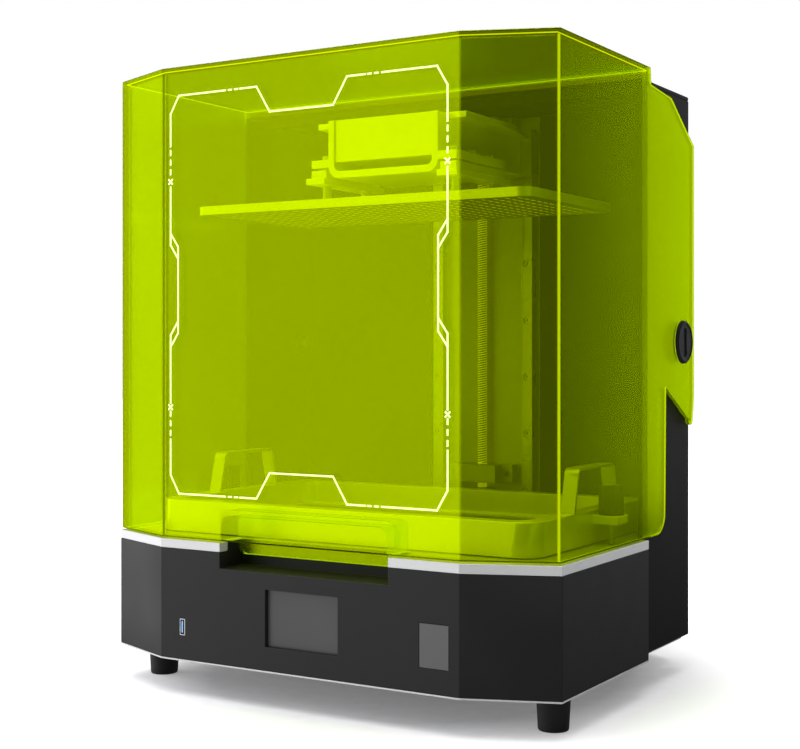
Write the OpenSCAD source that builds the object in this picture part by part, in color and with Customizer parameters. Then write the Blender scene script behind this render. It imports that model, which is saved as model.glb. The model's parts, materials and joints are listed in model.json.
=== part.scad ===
// Resin printer: a black chamfered base and rear tower, a tinted one-piece lid on two side hinges,
// a vat over the masking screen, and a build platform that a ball screw raises and lowers.
// Millimetres. The origin is on the floor under the middle of the printer, +Z up, front towards -Y.

/* [Body] */
// Width of the base
body_w = 475; // [465:1:485]
// Depth of the whole printer, front face to rear cover
body_d = 400; // [398:1:406]
// Height of the feet
foot_h = 32; // [20:1:40]
// Height of the black base shell
shell_h = 104; // [102:1:106]
// Height of the light trim band on top of the shell
trim_h = 8.3; // [7:0.1:9]
// Width of the flat part of the front face
front_w = 318; // [300:1:330]
// Depth of each slanted front corner
corner_d = 31.5; // [28:0.5:36]
// Height of the lid's top above the base's underside
top_h = 551.6; // [550:0.1:556]
// Height of the tower's top above the base's underside
tower_h = 541; // [538:1:541]

/* [Lid] */
// Thickness of the tinted walls
lid_wall = 5; // [4:0.5:5]
// Distance of the hinge axis behind the front face
hinge_y = 315; // [312:1:318]
// Height of the hinge axis above the base's underside
hinge_z = 296; // [292:1:300]

/* [Build platform] */
// Width of the build plate
plate_w = 368; // [340:1:370]
// Depth of the build plate
plate_d = 185; // [170:1:190]
// Height of the build plate's underside above the base's underside, at rest
plate_z = 421.5; // [421.5:0.5:424]

/* [Vat] */
// Inner width of the vat
vat_w = 376; // [374:1:378]
// Inner depth of the vat
vat_d = 221; // [215:1:222]
// Height of the vat's wall
vat_h = 26; // [22:1:28]

/* [Hidden] */
$fn = 48;

// Shared sizes
half_w = body_w / 2;
front_half = front_w / 2;
shell_wall = 3;
plate_t = 1.5;
deck_z = shell_h + trim_h;
lid_gap = 1.7;
lid_half = half_w - 1.5;
lid_z = deck_z + lid_gap;
side_rear_y = 221;
lid_rear_y = 230;
tower_half = lid_half - lid_wall - 1;
tower_y = 224;
tower_rear_y = 346;
tower_wall = 5;
tower_z = 4;
cover_half = 205;
column_y = 349;
column_half = 66.5;
screw_r = 5;
screw_y = 340;
fit = 0.05;
gap = 0.3;

// Colours
black = [0.11, 0.11, 0.12];
dark = [0.2, 0.2, 0.21];
silver = [0.82, 0.83, 0.84];
steel = [0.62, 0.63, 0.65];
tint = [0.72, 0.92, 0.05, 0.45];

// Moves a shape drawn from the front face and the base's underside into the printer's frame.
module placed() {
    translate([0, -body_d / 2, foot_h]) children();
}

module both_sides() {
    children();
    mirror([1, 0, 0]) children();
}

// A box between two opposite corners.
module block(low, high) {
    translate(low) cube(high - low);
}

// A box centred on X = 0.
module centred(half, y0, y1, z0, z1) {
    block([-half, y0, z0], [half, y1, z1]);
}

// A flat rectangle with round corners, centred on the origin.
module round_rect(w, d, r) {
    square([w - 2 * r, d], center = true);
    square([w, d - 2 * r], center = true);
    for (x = [-1, 1], y = [-1, 1])
        translate([x * (w / 2 - r), y * (d / 2 - r)]) circle(r);
}

// The plan of the base and the lid: a rectangle with slanted front corners.
// inset moves every wall inwards by the same amount, apart from the rear edge.
module front_plan(half, inset, rear_y) {
    slant = atan(corner_d / (half - front_half));
    side_y = corner_d + inset * tan((90 - slant) / 2);
    front_x = front_half - inset * tan(slant / 2);
    polygon([
        [-front_x, inset], [front_x, inset], [half - inset, side_y], [half - inset, rear_y],
        [-half + inset, rear_y], [-half + inset, side_y]
    ]);
}

// A hexagon socket screw with its head up, its shank going down from z = 0.
module socket_screw(head_r, head_h, shank_r, shank_l) {
    difference() {
        cylinder(r = head_r, h = head_h);
        translate([0, 0, head_h / 2]) cylinder(r = head_r * 0.5, h = head_h, $fn = 6);
    }
    translate([0, 0, -shank_l]) cylinder(r = shank_r, h = shank_l);
}

// ---- Base ----

recess_half = 90;
recess_d = 35;
recess_z = 89;
screen_half = 38.5;
screen_low = 23;
screen_high = 74;
usb_x = -134;
usb_half = 3;
usb_low = 24;
usb_high = 39;
label_low = [121, 0, 23];
label_high = [149, 0.8, 60];
deck_t = 4;
deck_top = deck_z - 0.3;
deck_low = deck_top - deck_t;
rim_w = 12;
window_half = 172;
window_y0 = 78;
window_y1 = 270;

module base_shell() {
    color(black) placed() {
        difference() {
            union() {
                difference() {
                    translate([0, 0, plate_t]) linear_extrude(shell_h - plate_t)
                        front_plan(half_w, 0, side_rear_y);
                    linear_extrude(shell_h + 1) front_plan(half_w, shell_wall, side_rear_y + 1);
                }
                // Walls of the finger recess
                centred(recess_half + shell_wall, shell_wall - 0.5, recess_d + shell_wall,
                        recess_z - shell_wall, shell_h);
                centred(recess_half + shell_wall, rim_w, recess_d + shell_wall, shell_h, deck_top);
            }
            centred(recess_half, -1, recess_d, recess_z, deck_z + 1);
            centred(screen_half, -1, shell_wall + 1, screen_low, screen_high);
            block([usb_x - usb_half, -1, usb_low], [usb_x + usb_half, shell_wall + 1, usb_high]);
            block(label_low - [0, 1, 0], label_high);
        }
    }
}

module bottom_plate() {
    color(silver) placed() difference() {
        union() {
            linear_extrude(plate_t) front_plan(half_w, 0, side_rear_y);
            centred(tower_half - tower_wall - 1, side_rear_y - 1, tower_rear_y - shell_wall - 1, 0, plate_t);
        }
        // Air slots under the lamp
        for (x = [-100:20:100])
            translate([x, 160, -1]) linear_extrude(plate_t + 2) round_rect(6, 100, 2.9);
        for (spot = foot_spots)
            translate([spot.x, spot.y, -1]) cylinder(r = foot_bore_r, h = plate_t + 2);
    }
}

foot_spots = [for (side = [-1, 1], spot = [[212.6, 67.6], [165, 310]]) [side * spot.x, spot.y]];
foot_top_r = 15;
foot_low_r = 13.25;
foot_bore_r = 2.2;
foot_socket_r = 6;
foot_web = 6;

module feet() {
    color(dark) for (spot = foot_spots)
        translate([spot.x, spot.y - body_d / 2, 0]) rotate_extrude() polygon([
            [foot_socket_r, 0], [foot_low_r - 1, 0], [foot_low_r, 1], [foot_top_r, foot_h], [foot_bore_r, foot_h],
            [foot_bore_r, foot_h - foot_web], [foot_socket_r, foot_h - foot_web]
        ]);
}

module foot_screws() {
    color(steel) for (spot = foot_spots)
        translate([spot.x, spot.y - body_d / 2, foot_h - foot_web]) mirror([0, 0, 1])
            socket_screw(4, 3.5, foot_bore_r - 0.1, foot_web + 3);
}

module trim_band() {
    color(silver) placed() difference() {
        translate([0, 0, shell_h]) linear_extrude(trim_h) difference() {
            front_plan(half_w, 0, side_rear_y);
            front_plan(half_w, rim_w, side_rear_y + 1);
        }
        centred(recess_half, -1, recess_d, shell_h - 1, deck_z + 1);
    }
}

module deck_plate() {
    color(dark) placed() difference() {
        translate([0, 0, deck_low]) linear_extrude(deck_t) {
            front_plan(half_w, rim_w, side_rear_y);
            translate([-tower_half + tower_wall, side_rear_y])
                square([2 * (tower_half - tower_wall), tower_rear_y - shell_wall - side_rear_y]);
        }
        centred(recess_half + shell_wall, -1, recess_d + shell_wall, deck_low - 1, deck_z + 1);
        centred(window_half, window_y0, window_y1, deck_low - 1, deck_z + 1);
        translate([0, screw_y, deck_low - 1]) cylinder(r = 14, h = deck_t + 2);
        both_sides() translate([clamp_x, clamp_y, deck_low - 1]) cylinder(r = clamp_r + fit, h = deck_t + 2);
    }
}

panel_t = 3;
panel_over = 4;
frame_w = 10;

module panel_frame() {
    color(black) placed() difference() {
        union() {
            centred(window_half + panel_over + frame_w, window_y0 - panel_over - frame_w,
                    window_y1 + panel_over + frame_w, deck_low - panel_t, deck_low);
            // Legs that carry the lens plate
            for (x = [-1, 1], y = [window_y0 + 6, window_y1 - 6])
                translate([x * (window_half + 9), y, lens_z]) cylinder(r = 4, h = deck_low - lens_z);
        }
        centred(window_half + panel_over, window_y0 - panel_over, window_y1 + panel_over,
                deck_low - panel_t - 1, deck_low + 1);
    }
}

module masking_panel() {
    color([0.05, 0.05, 0.08]) placed()
        centred(window_half + panel_over, window_y0 - panel_over, window_y1 + panel_over,
                deck_low - panel_t, deck_low);
}

module panel_glass() {
    color([0.3, 0.35, 0.38]) placed()
        centred(window_half, window_y0, window_y1, deck_low, deck_top + 1);
}

lens_z = 74;
lens_t = 3;
array_z = 46;
array_t = 2;

module lens_plate() {
    color([0.8, 0.9, 0.95]) placed() {
        centred(window_half + 14, window_y0 - 2, window_y1 + 2, lens_z - lens_t, lens_z);
        for (x = [-160:32:160], y = [88:28:256])
            translate([x, y, lens_z - lens_t - 4]) cylinder(r1 = 6, r2 = 11, h = 4);
    }
}

module light_array() {
    color([0.9, 0.9, 0.86]) placed() {
        centred(window_half + 12, window_y0, window_y1, array_z, array_z + array_t);
        for (x = [-160:32:160], y = [88:28:256])
            translate([x, y, array_z + array_t]) cylinder(r = 2.5, h = 2);
        for (x = [-1, 1], y = [window_y0 + 4, window_y1 - 4])
            translate([x * (window_half + 6), y, array_z]) cylinder(r = 3, h = lens_z - lens_t - array_z);
    }
}

module heat_sink() {
    color(steel) placed() {
        centred(window_half - 12, window_y0 + 10, window_y1 - 10, array_z - 5, array_z);
        for (x = [-155:10:155])
            block([x - 1, window_y0 + 10, 14], [x + 1, window_y1 - 10, array_z - 5]);
        for (x = [-140, 140], y = [100, 205])
            translate([x, y, plate_t]) cylinder(r = 3.5, h = array_z - 5 - plate_t);
    }
}

module screen_bezel() {
    color(black) placed() difference() {
        centred(screen_half + 7, shell_wall, 11, screen_low - 5, screen_high + 5);
        centred(screen_half, shell_wall - 1, 9, screen_low, screen_high);
    }
}

module touchscreen() {
    color([0.3, 0.3, 0.31]) placed() centred(screen_half, 4.2, 9, screen_low, screen_high);
}

module usb_port() {
    usb_wall = 0.6;
    color(silver) placed() {
        difference() {
            block([usb_x - usb_half, 0.4, usb_low], [usb_x + usb_half, 16, usb_high]);
            block([usb_x - usb_half + usb_wall, -1, usb_low + usb_wall],
                  [usb_x + usb_half - usb_wall, 14, usb_high - usb_wall]);
        }
        block([usb_x - 2, 1.5, usb_low + 2], [usb_x - 0.3, 14, usb_high - 2]);
    }
}

module label_plate() {
    color([0.25, 0.25, 0.26]) placed() block(label_low + [0, 0.1, 0], label_high);
}

module mainboard() {
    color([0.05, 0.35, 0.2]) placed() {
        block([-226, 60, 14], [-176, 200, 15.6]);
        for (x = [-222, -180], y = [65, 195])
            translate([x, y, plate_t]) cylinder(r = 3, h = 14 - plate_t);
        for (y = [80, 115, 150])
            block([-212, y, 15.6], [-194, y + 20, 19]);
    }
}

module power_supply() {
    color(silver) placed() difference() {
        block([188, 76, plate_t], [228, 200, 62]);
        for (y = [85:10:185])
            block([187, y, 20], [191, y + 5, 50]);
    }
}

// ---- Tower ----

tower_top_t = 4;
lip_low = 527;
cover_chamfer = 25;
cover_wall = 3;
cover_rear = body_d;
fan_pos = [120, 140];
fan_size = 80;
fan_d = 25;
fan_blades = 7;
vent_r = 37;
inlet_pos = [-120, 60];
switch_pos = [-120, 110];
socket_pos = [-160, 60];
cover_screw_spots = [for (x = [-160, 160], z = [25, 275, 515]) [x, z]];
cover_screw_r = 1.5;
cover_screw_bite = 2.5;
cover_screw_y = cover_rear - 2.9;

module tower_shell() {
    color(black) placed() difference() {
        union() {
            both_sides() block([tower_half - tower_wall, tower_y, tower_z],
                               [tower_half, tower_rear_y, tower_h - tower_top_t]);
            both_sides() block([tower_half - tower_wall, side_rear_y, tower_z],
                               [tower_half, tower_y, shell_h]);
            centred(tower_half, tower_rear_y - shell_wall, tower_rear_y, tower_z, tower_h - tower_top_t);
            centred(tower_half - tower_wall, side_rear_y, tower_rear_y - shell_wall, tower_z, tower_z + 3);
            centred(tower_half, tower_y, tower_y + 6, lip_low, tower_h - tower_top_t);
            // Bosses for the hinge pins
            both_sides() translate([tower_half - tower_wall - boss_t, hinge_y, hinge_z])
                rotate([0, 90, 0]) cylinder(r = boss_r, h = boss_t);
        }
        centred(column_half + 0.5, tower_rear_y - shell_wall - 1, tower_rear_y + 1, deck_low - 70, tower_h);
        both_sides() translate([tower_half - 16, hinge_y, hinge_z])
            rotate([0, 90, 0]) cylinder(r = pin_r, h = 20);
        // Way for the cables into the rear cover
        block([-160, tower_rear_y - shell_wall - 1, 20], [-90, tower_rear_y + 1, 60]);
        for (spot = cover_screw_spots)
            translate([spot.x, tower_rear_y + 1, spot.y]) rotate([90, 0, 0])
                cylinder(r = cover_screw_r, h = cover_screw_bite + 1);
    }
}

module tower_top() {
    color(black) placed() difference() {
        centred(tower_half, tower_y, tower_rear_y, tower_h - tower_top_t, tower_h);
        for (x = [-200, 200], y = [tower_y + 14, tower_rear_y - 14])
            translate([x, y, tower_h - 1.5]) cylinder(r = 3, h = 3);
    }
}

module cover_plan(inset) {
    half = cover_half - inset;
    rear = cover_rear - inset;
    cut = cover_chamfer - inset * tan(22.5);
    polygon([[-half, tower_rear_y], [half, tower_rear_y], [half, rear - cut], [half - cut, rear],
             [-half + cut, rear], [-half, rear - cut]]);
}

module rear_cover() {
    color(black) placed() difference() {
        union() {
            difference() {
                translate([0, 0, tower_z]) linear_extrude(tower_h - tower_z) cover_plan(0);
                translate([0, 0, tower_z + cover_wall])
                    linear_extrude(tower_h - tower_z - 2 * cover_wall) cover_plan(cover_wall);
            }
            for (spot = cover_screw_spots)
                translate([spot.x, cover_rear - 1, spot.y]) rotate([90, 0, 0])
                    cylinder(r = 4, h = cover_rear - 1 - tower_rear_y);
        }
        for (spot = cover_screw_spots) translate([spot.x, cover_rear + 1, spot.y]) rotate([90, 0, 0]) {
            cylinder(r = 3.2, h = 4);
            cylinder(r = 1.55, h = 60);
        }
        translate([fan_pos.x, cover_rear + 1, fan_pos.y]) rotate([90, 0, 0]) cylinder(r = vent_r, h = 6);
        rear_opening(inlet_pos, [27, 20]);
        rear_opening(switch_pos, [20, 27]);
        rear_opening(socket_pos, [16, 14]);
        // Slots that let the lamp's air out
        for (z = [440:12:500])
            centred(90, cover_rear - cover_wall - 1, cover_rear + 1, z, z + 4);
    }
}

module rear_opening(centre, size) {
    block([centre.x - size.x / 2, cover_rear - cover_wall - 1, centre.y - size.y / 2],
          [centre.x + size.x / 2, cover_rear + 1, centre.y + size.y / 2]);
}

module cover_screws() {
    color(steel) placed() for (spot = cover_screw_spots)
        translate([spot.x, cover_screw_y, spot.y]) rotate([-90, 0, 0])
            socket_screw(3, 2.4, cover_screw_r, cover_screw_y - tower_rear_y + cover_screw_bite);
}

module at_fan(y) {
    translate([fan_pos.x, y, fan_pos.y]) rotate([-90, 0, 0]) children();
}

module fan_frame() {
    color(dark) placed() at_fan(cover_rear - cover_wall - fan_d) {
        difference() {
            linear_extrude(fan_d) round_rect(fan_size, fan_size, 4);
            translate([0, 0, -1]) cylinder(r = vent_r, h = fan_d + 2);
        }
        // Hub carrier with its spokes and the axle
        cylinder(r = 14, h = 3);
        for (turn = [45:90:315]) rotate(turn) translate([13, -1.5, 0]) cube([vent_r - 12, 3, 3]);
        cylinder(r = 2, h = 16);
    }
}

module fan_rotor() {
    color(dark) placed() at_fan(cover_rear - cover_wall - fan_d + 4) difference() {
        union() {
            cylinder(r = 15, h = 18);
            for (i = [1:fan_blades]) rotate(i * 360 / fan_blades) translate([14, 0, 9]) rotate([38, 0, 0])
                translate([0, -8, -0.8]) cube([21, 16, 1.6]);
        }
        translate([0, 0, -1]) cylinder(r = 2 + fit, h = 14);
    }
}

module fan_grille() {
    color(steel) placed() at_fan(cover_rear - cover_wall) {
        difference() {
            cylinder(r = vent_r, h = 2.4);
            translate([0, 0, -1]) cylinder(r = vent_r - 2.5, h = 5);
        }
        for (r = [9, 18, 27]) difference() {
            cylinder(r = r + 1, h = 1.6);
            translate([0, 0, -1]) cylinder(r = r - 1, h = 4);
        }
        for (turn = [0, 90]) rotate(turn) translate([-vent_r + 1, -1, 0]) cube([2 * vent_r - 2, 2, 1.6]);
    }
}

module power_inlet() {
    color(dark) placed() difference() {
        block([inlet_pos.x - 13.5, cover_rear - 22, inlet_pos.y - 10],
              [inlet_pos.x + 13.5, cover_rear - 0.5, inlet_pos.y + 10]);
        block([inlet_pos.x - 11, cover_rear - 18, inlet_pos.y - 7.5],
              [inlet_pos.x + 11, cover_rear + 1, inlet_pos.y + 7.5]);
    }
    color(steel) placed() for (x = [-7, 0, 7])
        block([inlet_pos.x + x - 1, cover_rear - 19, inlet_pos.y - 2],
              [inlet_pos.x + x + 1, cover_rear - 4, inlet_pos.y + 2]);
}

rocker_r = 9;
rocker_y = cover_rear - 9.5;
rocker_tilt = 10;

module switch_housing() {
    color(dark) placed() {
        difference() {
            block([switch_pos.x - 10, cover_rear - 24, switch_pos.y - 13.5],
                  [switch_pos.x + 10, cover_rear - 0.5, switch_pos.y + 13.5]);
            block([switch_pos.x - 8, cover_rear - 21, switch_pos.y - 11.5],
                  [switch_pos.x + 8, cover_rear + 1, switch_pos.y + 11.5]);
        }
        translate([switch_pos.x - 8.5, rocker_y, switch_pos.y]) rotate([0, 90, 0]) cylinder(r = 1.5, h = 17);
    }
}

module power_rocker() {
    color([0.6, 0.1, 0.08]) placed() translate([switch_pos.x, rocker_y, switch_pos.y])
        rotate([-rocker_tilt, 0, 0]) difference() {
            rotate([90, 0, 90]) translate([0, 0, -7.5]) linear_extrude(15) polygon([
                [-3, -rocker_r], [5.2, -rocker_r], [7.6, 0], [5.2, rocker_r], [-3, rocker_r]
            ]);
            translate([-10, 0, 0]) rotate([0, 90, 0]) cylinder(r = 1.5 + fit, h = 20);
        }
}

module network_socket() {
    color(silver) placed() difference() {
        block([socket_pos.x - 8, cover_rear - 20, socket_pos.y - 7],
              [socket_pos.x + 8, cover_rear - 0.5, socket_pos.y + 7]);
        block([socket_pos.x - 6, cover_rear - 16, socket_pos.y - 5],
              [socket_pos.x + 6, cover_rear + 1, socket_pos.y + 3]);
    }
}

// ---- Hinges ----

pin_r = 6;
pin_sunk = 14;
boss_r = 14;
boss_t = 10;
bush_r = 9;
cap_r = 21;
cap_t = 4;
cap_slot = 20;
seat_d = 1;

module at_hinge(x) {
    placed() translate([x, hinge_y, hinge_z]) rotate([0, 90, 0]) children();
}

module hinge_pins() {
    color(steel) both_sides() at_hinge(tower_half - pin_sunk)
        cylinder(r = pin_r, h = lid_half - seat_d + gap - tower_half + pin_sunk);
}

module hinge_caps() {
    face = cap_t - 1;
    color(black) both_sides() at_hinge(lid_half - seat_d + gap) difference() {
        rotate_extrude() polygon([
            [0, 0], [cap_r, 0], [cap_r, cap_t - 2], [cap_r - 1.5, cap_t - gap], [cap_r - 3, cap_t - gap],
            [cap_r - 4, face], [0, face]
        ]);
        // Slot for a coin, between two round ends
        block([-cap_slot / 2, -3, face - 1.5], [cap_slot / 2, 3, cap_t]);
        for (x = [-cap_slot / 2, cap_slot / 2]) translate([x, 0, face - 1.5]) cylinder(r = 4, h = cap_t);
    }
}

module hinge_bushes() {
    color(black) both_sides() at_hinge(lid_half - lid_wall) difference() {
        cylinder(r = bush_r, h = lid_wall - seat_d);
        translate([0, 0, -1]) cylinder(r = pin_r + fit, h = lid_wall + 2);
    }
}

// ---- Z axis ----

column_d = 26;
column_top = 536;
rail_x = 54;
rail_half = 6;
rail_d = 10;
rail_low = 118;
rail_top = 522;
rail_screw_spots = [for (side = [-1, 1], i = [0:6]) [side * rail_x, rail_low + 22 + i * 60]];
screw_low = 126;
bearing_half = 25;
lower_bearing = [147, 166];
upper_bearing = [526, 536];
carriage_z = [473, 514];
nut_z = [480, 510];
carriage_plate_y = [321, 329];

module column() {
    color(steel) placed() difference() {
        centred(column_half, column_y, column_y + column_d, deck_low, column_top);
        centred(column_half - 8, column_y + 6, column_y + column_d + 1, deck_low + 12, column_top - 12);
        for (spot = rail_screw_spots)
            translate([spot.x, column_y + 8, spot.y]) rotate([90, 0, 0]) cylinder(r = 2, h = 10);
    }
}

module linear_rails() {
    color(silver) placed() difference() {
        for (side = [-1, 1]) translate([side * rail_x, 0, 0])
            centred(rail_half, column_y - rail_d, column_y, rail_low, rail_top);
        for (spot = rail_screw_spots) translate([spot.x, column_y + 1, spot.y]) rotate([90, 0, 0]) {
            cylinder(r = 2, h = rail_d + 2);
            translate([0, 0, 6]) cylinder(r = 3.6, h = rail_d);
        }
    }
}

module rail_screws() {
    color(steel) placed() for (spot = rail_screw_spots)
        translate([spot.x, column_y - 5, spot.y]) rotate([90, 0, 0]) socket_screw(3.5, 4, 1.95, 10);
}

module ball_screw() {
    color(silver) placed() translate([0, screw_y, screw_low])
        cylinder(r = screw_r, h = column_top - screw_low - 1);
}

// A bearing block with an ear on each side, each ear with a screw sunk in its face.
module bearing_block(z) {
    ear_w = 13;
    ear_y = 336;
    sink = 4;
    difference() {
        union() {
            centred(bearing_half, 322, column_y, z[0], z[1]);
            centred(bearing_half + ear_w, ear_y, column_y, z[0], z[1]);
        }
        translate([0, screw_y, z[0] - 1]) cylinder(r = screw_r + fit, h = z[1] - z[0] + 2);
        both_sides() translate([bearing_half + ear_w / 2, ear_y + sink, (z[0] + z[1]) / 2])
            rotate([90, 0, 0]) cylinder(r = 3.6, h = sink + 1);
    }
    both_sides() translate([bearing_half + ear_w / 2, ear_y + sink, (z[0] + z[1]) / 2])
        rotate([90, 0, 0]) socket_screw(3.5, sink - 0.5, 1.5, 1);
}

module lower_bearing() {
    color(steel) placed() bearing_block(lower_bearing);
}

module upper_bearing() {
    color(steel) placed() bearing_block(upper_bearing);
}

coupling_low = 113;
coupling_r = 8.5;

module shaft_coupling() {
    color(silver) placed() translate([0, screw_y, 0]) {
        difference() {
            translate([0, 0, coupling_low]) cylinder(r = coupling_r, h = 28);
            translate([0, 0, screw_low]) cylinder(r = screw_r, h = 30);
            for (z = [coupling_low + 8, coupling_low + 18])
                translate([0, 0, z]) difference() {
                    cylinder(r = coupling_r + 1, h = 1.2);
                    cylinder(r = coupling_r - 2, h = 1.2);
                }
        }
        translate([0, 0, 60]) cylinder(r = 4, h = coupling_low - 60);
    }
}

motor_half = 28.5;

module stepper_motor() {
    color(dark) placed() translate([0, screw_y, 0]) difference() {
        union() {
            translate([0, 0, deck_low - 56]) linear_extrude(56) round_rect(2 * motor_half, 2 * motor_half, 5);
            translate([0, 0, deck_low]) cylinder(r = 8, h = 1.5);
        }
        translate([0, 0, 59.5]) cylinder(r = 4 + fit, h = 60);
    }
}

module rail_carriages() {
    color(silver) placed() difference() {
        for (side = [-1, 1]) translate([side * rail_x, 0, 0])
            centred(12.5, carriage_plate_y[1], column_y - 1.8, carriage_z[0], carriage_z[1]);
        for (side = [-1, 1]) translate([side * rail_x, 0, 0])
            centred(rail_half + gap, column_y - rail_d - gap, column_y + 1, 400, 600);
    }
}

module ball_nut() {
    color(steel) placed() difference() {
        centred(18, carriage_plate_y[1], column_y - 0.8, nut_z[0], nut_z[1]);
        translate([0, screw_y, nut_z[0] - 1]) cylinder(r = screw_r + fit, h = 60);
    }
}

module carriage_plate() {
    color(steel) placed() difference() {
        centred(68, carriage_plate_y[0], carriage_plate_y[1], 470, 516);
        for (x = [-rail_x, rail_x], z = [480, 506])
            translate([x, carriage_plate_y[0] + 3, z]) rotate([90, 0, 0]) cylinder(r = 3, h = 10);
    }
    color(silver) placed() for (x = [-rail_x, rail_x], z = [480, 506])
        translate([x, carriage_plate_y[0] + 3, z]) rotate([90, 0, 0]) socket_screw(2.9, 2.5, 1, 0.5);
}

// ---- Build platform ----

arm_top = 513;
arm_plate_t = 6;
beam_half = 55;
beam_low = 472;
channel_half = 62;
channel_low = 456;
channel_y = [135, 235];
channel_front = 15;
wing_half = 82;
wing_z = [467, 475];
bolt_x = 72;
bolt_ys = [148, 185, 222];
post_r = 4.5;

module support_arm() {
    plate_low = arm_top - arm_plate_t;
    color(silver) placed() {
        centred(beam_half, channel_y[0] + 2, carriage_plate_y[0], beam_low, plate_low);
        centred(beam_half, channel_y[0] + 2, channel_y[0] + channel_front, plate_low, arm_top);
        translate([0, 0, plate_low]) linear_extrude(arm_plate_t) polygon([
            [-84, channel_y[0] + channel_front], [84, channel_y[0] + channel_front], [84, 250],
            [66, carriage_plate_y[0]], [-66, carriage_plate_y[0]], [-84, 250]
        ]);
    }
}

// The front view of the channel that holds the beam, with round lower corners.
module channel_profile(half, low, high, r) {
    translate([-half, low + r]) square([2 * half, high - low - r]);
    translate([-half + r, low]) square([2 * (half - r), r]);
    for (x = [-1, 1]) translate([x * (half - r), low + r]) circle(r);
}

module bracket_frame() {
    color(silver) placed() {
        difference() {
            union() {
                translate([0, channel_y[1], 0]) rotate([90, 0, 0])
                    linear_extrude(channel_y[1] - channel_y[0])
                        channel_profile(channel_half, channel_low, arm_top - arm_plate_t, 12);
                centred(channel_half, channel_y[0], channel_y[0] + channel_front, 500, arm_top);
                centred(wing_half, channel_y[0], channel_y[1], wing_z[0], wing_z[1]);
            }
            translate([0, channel_y[1] + 1, 0]) rotate([90, 0, 0])
                linear_extrude(channel_y[1] - channel_y[0] + 2)
                    channel_profile(beam_half, channel_low + 7, arm_top + 1, 6);
            for (x = [-bolt_x, bolt_x], y = bolt_ys)
                translate([x, y, wing_z[0] - 1]) cylinder(r = 2.6, h = 12);
        }
    }
}

module levelling_plates() {
    color(silver) placed() difference() {
        both_sides() {
            block([64, channel_y[0], 457], [wing_half, channel_y[1], 465]);
            block([63, channel_y[0] - 5, 451], [wing_half + 3, channel_y[1] + 5, 457]);
        }
        for (x = [-bolt_x, bolt_x], y = bolt_ys)
            translate([x, y, 452]) cylinder(r = 2.6, h = 20);
    }
}

module platform_posts() {
    plate_top = plate_z + build_plate_t;
    color(silver) placed() both_sides() for (y = [150, 220])
        translate([73, y, plate_top]) cylinder(r = post_r, h = 451 - plate_top);
}

module platform_bolts() {
    color(steel) placed() both_sides() for (y = bolt_ys)
        translate([bolt_x, y, wing_z[1]]) socket_screw(4.5, 5, 2.5, 22);
}

build_plate_t = 8.5;
build_plate_y = 172.5;
slot_pitch = 12;
slot_w = 1.6;
slot_l = 9;
slot_gap = 4;
slot_d = 0.8;

// Evenly spaced places along a length, centred on 0, that stay clear of its ends.
function slot_row(length, pitch) =
    let (count = floor((length - 16) / pitch)) [for (i = [0:count - 1]) (i - (count - 1) / 2) * pitch];

module build_plate() {
    color(silver) placed() difference() {
        translate([0, build_plate_y, plate_z]) linear_extrude(build_plate_t) round_rect(plate_w, plate_d, 12);
        // Rows of short, shallow slots in the face that the print grips
        for (x = slot_row(plate_w, slot_pitch), y = slot_row(plate_d, slot_l + slot_gap))
            translate([0, build_plate_y, 0])
                block([x - slot_w / 2, y - slot_l / 2, plate_z - 1],
                      [x + slot_w / 2, y + slot_l / 2, plate_z + slot_d]);
    }
}

// ---- Vat ----

vat_y = 172.5;
vat_wall = 3;
vat_rim_half = 205;
vat_rim_d = 251;
rim_r = 22;
skirt_t = 3;
skirt_low = deck_top + 1;
frame_top = 117.3;
vat_top = frame_top + vat_h;
rim_t = 3;
film_border = 8;
clamp_x = 218;
clamp_y = vat_y + 6;
clamp_r = 2.5;
clamp_z = [131, 139];
knob_r = 11.5;
knob_top = 166;
handle_x = [190.5, 204.5];
handle_y = [clamp_y - 50, clamp_y + 50];
handle_top = 183;

module vat_body() {
    outer_w = vat_w + 2 * vat_wall;
    outer_d = vat_d + 2 * vat_wall;
    inner_r = rim_r - skirt_t;
    color(silver) placed() difference() {
        union() {
            translate([0, vat_y, skirt_low]) linear_extrude(vat_top - skirt_low)
                round_rect(2 * vat_rim_half, vat_rim_d, rim_r);
            both_sides() block([vat_rim_half - 1, clamp_y - 12, clamp_z[0]],
                               [clamp_x + knob_r, clamp_y + 12, clamp_z[1]]);
        }
        // Basin, and the opening for the film in its floor
        translate([0, vat_y, frame_top + vat_wall]) linear_extrude(vat_h) round_rect(vat_w, vat_d, 13);
        translate([0, vat_y, frame_top - 1]) linear_extrude(vat_wall + 2)
            round_rect(vat_w - 2 * film_border, vat_d - 2 * film_border, 8);
        // Hollow between the basin and the skirt, and the room for the film's frame below
        translate([0, vat_y, skirt_low - 1]) {
            linear_extrude(vat_top - rim_t - skirt_low + 1) difference() {
                round_rect(2 * (vat_rim_half - skirt_t), vat_rim_d - 2 * skirt_t, inner_r);
                round_rect(outer_w, outer_d, 16);
            }
            linear_extrude(frame_top - skirt_low + 1)
                round_rect(2 * (vat_rim_half - skirt_t), vat_rim_d - 2 * skirt_t, inner_r);
        }
        both_sides() translate([clamp_x, clamp_y, clamp_z[0] - 1]) cylinder(r = clamp_r + fit, h = 10);
    }
}

module release_film() {
    color([0.8, 0.85, 0.9]) placed() translate([0, vat_y, deck_top + 1.2])
        linear_extrude(0.3) round_rect(vat_w - 2 * film_border, vat_d - 2 * film_border, 8);
}

module film_frame() {
    color(steel) placed() difference() {
        translate([0, vat_y, deck_top]) linear_extrude(frame_top - deck_top)
            round_rect(vat_w + 2 * vat_wall, vat_d + 2 * vat_wall, 16);
        translate([0, vat_y, deck_top - 1]) linear_extrude(20)
            round_rect(vat_w - 2 * film_border, vat_d - 2 * film_border, 8);
        film_screw_holes();
    }
}

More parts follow.
